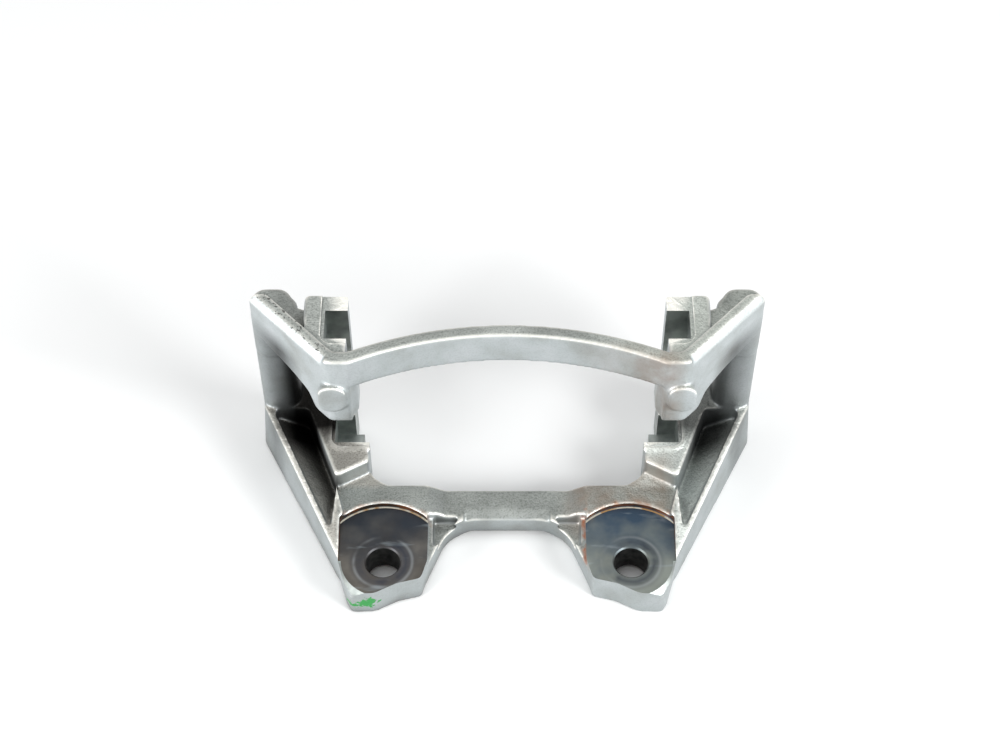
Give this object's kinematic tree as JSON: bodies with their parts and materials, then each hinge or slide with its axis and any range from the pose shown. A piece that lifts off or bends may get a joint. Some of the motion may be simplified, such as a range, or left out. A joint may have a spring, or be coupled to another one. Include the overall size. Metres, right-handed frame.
{
  "type": "brake caliper bracket",
  "caption": "One-piece cast bracket that carries a sliding brake caliper and its pads astride a disc: drilled lugs, channelled arms, slotted abutments, pin bosses and an arched tie bar.",
  "frame": {"origin": "midway between the two mounting holes, on the machined mounting face", "axes": "+X across the bracket through both mounting holes, +Y from the holes towards the slide pin bosses, +Z out of the mounting face, along the hole and slide pin axes"},
  "size_m": [0.2134, 0.103, 0.1005],
  "materials": {
    "cast_iron": "satin"
  },
  "bodies": {
    "root": {"caliper_bracket": "cast_iron"}
  },
  "joints": []
}
